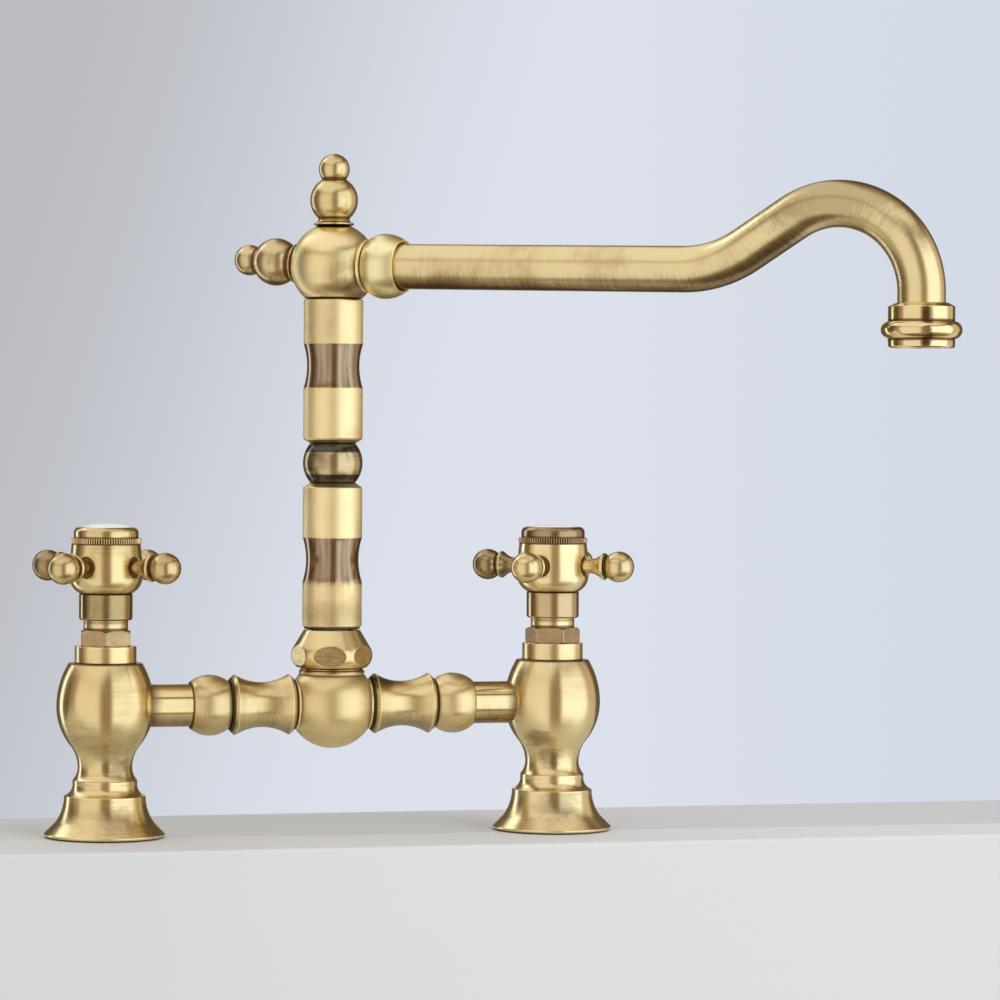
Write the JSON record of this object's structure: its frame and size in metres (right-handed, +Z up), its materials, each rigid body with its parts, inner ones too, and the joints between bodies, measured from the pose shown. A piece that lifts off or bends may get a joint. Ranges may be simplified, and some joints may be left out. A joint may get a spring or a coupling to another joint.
{
  "type": "bridge kitchen faucet",
  "caption": "Deck-standing bridge mixer with turned pillars, cross handles and a swivelling bent spout on a central column.",
  "frame": {"origin": "on the worktop, midway between the two pillars", "axes": "X along the bridge from the hot pillar to the cold one, +Z up, -Y towards the user"},
  "size_m": [0.3146, 0.2053, 0.332],
  "materials": {
    "brushed_brass": "brushed antique brass, lightly darkened in the recesses",
    "polished_brass": "bright antique brass, brushed along the column",
    "dark_brass": "brushed brass with a dark bronze patina",
    "raw_brass": "plain machined brass",
    "steel": "plain stainless steel",
    "rubber": "black rubber",
    "nylon": "off-white plastic",
    "ceramic": "lapped valve ceramic",
    "porcelain": "glossy white porcelain"
  },
  "bodies": {
    "bridge_frame": {"left_base_bell": "brushed_brass", "left_base_gasket": "rubber", "left_inlet_tail": "raw_brass", "left_clamp_washer": "steel", "left_back_nut": "raw_brass", "left_pillar": "brushed_brass", "left_valve_bonnet": "dark_brass", "left_fixed_disc": "ceramic", "right_base_bell": "brushed_brass", "right_base_gasket": "rubber", "right_inlet_tail": "raw_brass", "right_clamp_washer": "steel", "right_back_nut": "raw_brass", "right_pillar": "brushed_brass", "right_valve_bonnet": "dark_brass", "right_fixed_disc": "ceramic", "left_bridge_pipe": "brushed_brass", "left_bridge_spool": "brushed_brass", "left_bridge_bead": "brushed_brass", "right_bridge_pipe": "brushed_brass", "right_bridge_spool": "brushed_brass", "right_bridge_bead": "brushed_brass", "centre_body": "brushed_brass", "union_nut": "brushed_brass", "glide_washer": "nylon"},
    "spout": {"inner_pipe": "raw_brass", "lower_o_ring": "rubber", "upper_o_ring": "rubber", "lower_column_sleeve": "polished_brass", "column_ball": "dark_brass", "upper_column_sleeve": "polished_brass", "spout_head": "brushed_brass", "top_finial": "brushed_brass", "rear_finial": "brushed_brass", "spout_socket": "brushed_brass", "spout_pipe": "brushed_brass", "outlet_nozzle": "brushed_brass", "aerator": "nylon"},
    "hot_handle": {"hot_handle_hub": "brushed_brass", "hot_handle_skirt": "brushed_brass", "hot_cap_ring": "brushed_brass", "hot_index_disc": "porcelain", "hot_handle_screw": "steel", "hot_spindle": "raw_brass", "hot_turning_disc": "ceramic", "hot_spoke_1": "brushed_brass", "hot_spoke_2": "brushed_brass", "hot_spoke_3": "brushed_brass", "hot_spoke_4": "brushed_brass"},
    "cold_handle": {"cold_handle_hub": "brushed_brass", "cold_handle_skirt": "brushed_brass", "cold_cap_ring": "dark_brass", "cold_index_disc": "porcelain", "cold_handle_screw": "steel", "cold_spindle": "raw_brass", "cold_turning_disc": "ceramic", "cold_spoke_1": "brushed_brass", "cold_spoke_2": "brushed_brass", "cold_spoke_3": "brushed_brass", "cold_spoke_4": "brushed_brass"}
  },
  "joints": [
    {"name": "spout_swivel", "type": "hinge", "parent": "bridge_frame", "child": "spout", "pos_m": [0, 0, 0.074], "axis": [0, 0, 1], "continuous": true},
    {"name": "hot_valve", "type": "hinge", "parent": "bridge_frame", "child": "hot_handle", "pos_m": [-0.09, 0, 0.089], "axis": [0, 0, 1], "range_deg": [0, 90]},
    {"name": "cold_valve", "type": "hinge", "parent": "bridge_frame", "child": "cold_handle", "pos_m": [0.09, 0, 0.089], "axis": [0, 0, 1], "range_deg": [-90, 0]}
  ]
}
